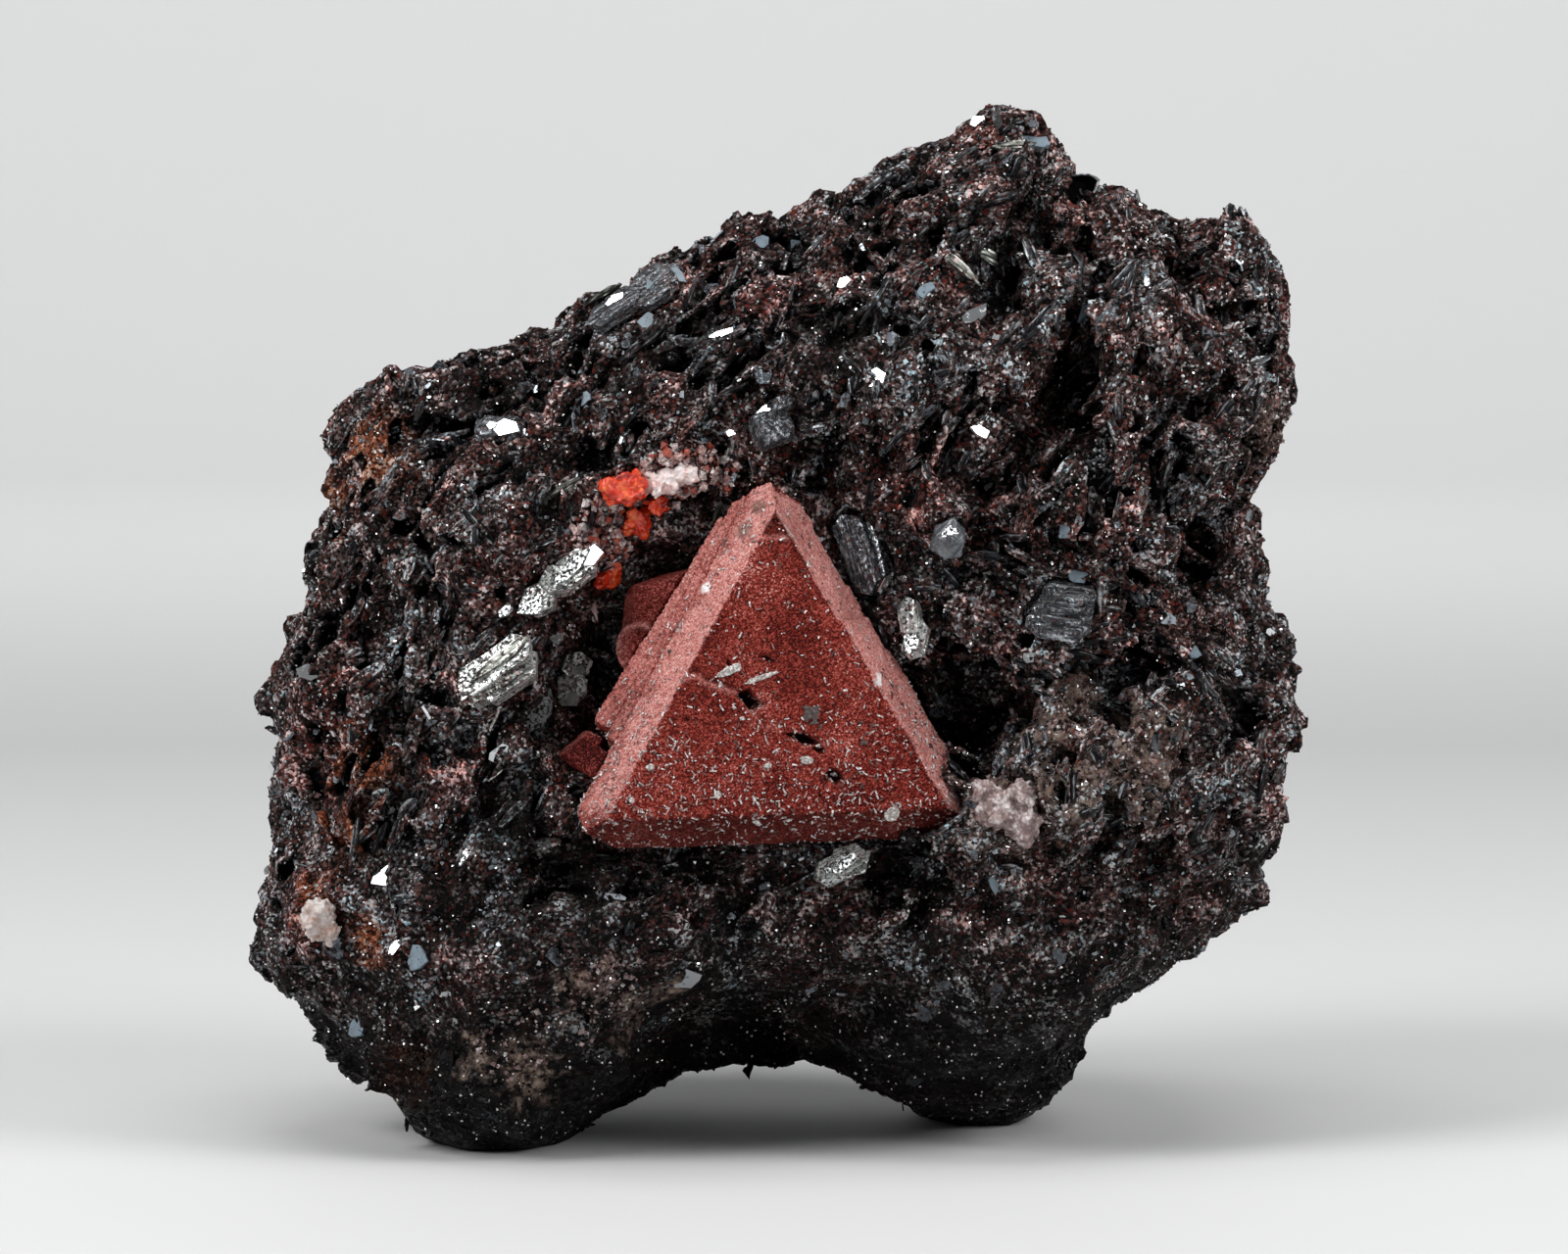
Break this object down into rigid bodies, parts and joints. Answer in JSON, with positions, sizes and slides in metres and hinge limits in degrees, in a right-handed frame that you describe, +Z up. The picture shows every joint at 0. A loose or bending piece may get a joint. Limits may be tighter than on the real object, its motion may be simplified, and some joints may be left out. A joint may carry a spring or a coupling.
{
  "type": "zunyite specimen",
  "caption": "Mineral specimen: a brick-red bevelled tetrahedral crystal set in a hollow of dark, vuggy hematite rock, standing on two low feet.",
  "frame": {"origin": "centre of the bounding box's bottom, on the surface that the specimen stands on", "axes": "+Z up, +X to the right seen from the front and along the greatest width, -Y towards the viewer of the large crystal, the front to back depth being the smallest extent"},
  "size_m": [0.0456, 0.0337, 0.0442],
  "materials": {
    "matrix": "satin",
    "hematite": "gloss",
    "zunyite": "satin",
    "zunyite_dark": "satin",
    "orange": "gloss",
    "quartz_clear": "gloss",
    "quartz_pink": "gloss",
    "quartz_white": "satin",
    "quartz_grey": "gloss"
  },
  "bodies": {
    "root": {"matrix": "matrix", "zunyite_crystal": "zunyite", "zunyite_side_upper": "zunyite_dark", "zunyite_side_lower": "zunyite_dark", "orange_crystal_1": "orange", "orange_crystal_2": "orange", "orange_crystal_3": "orange", "orange_crystal_4": "orange", "quartz_spike": "quartz_clear", "quartz_pink": "quartz_pink", "quartz_cluster": "quartz_pink", "quartz_white": "quartz_white", "quartz_grey": "quartz_grey", "hematite_pair": "hematite", "hematite_long_blade": "hematite", "hematite_cluster_left": "hematite", "hematite_plates_left": "hematite", "hematite_book_top": "hematite", "hematite_block": "hematite", "hematite_striated_blade": "hematite", "hematite_blade_right": "hematite", "hematite_plate_below": "hematite", "hematite_stack_right": "hematite"}
  },
  "joints": []
}
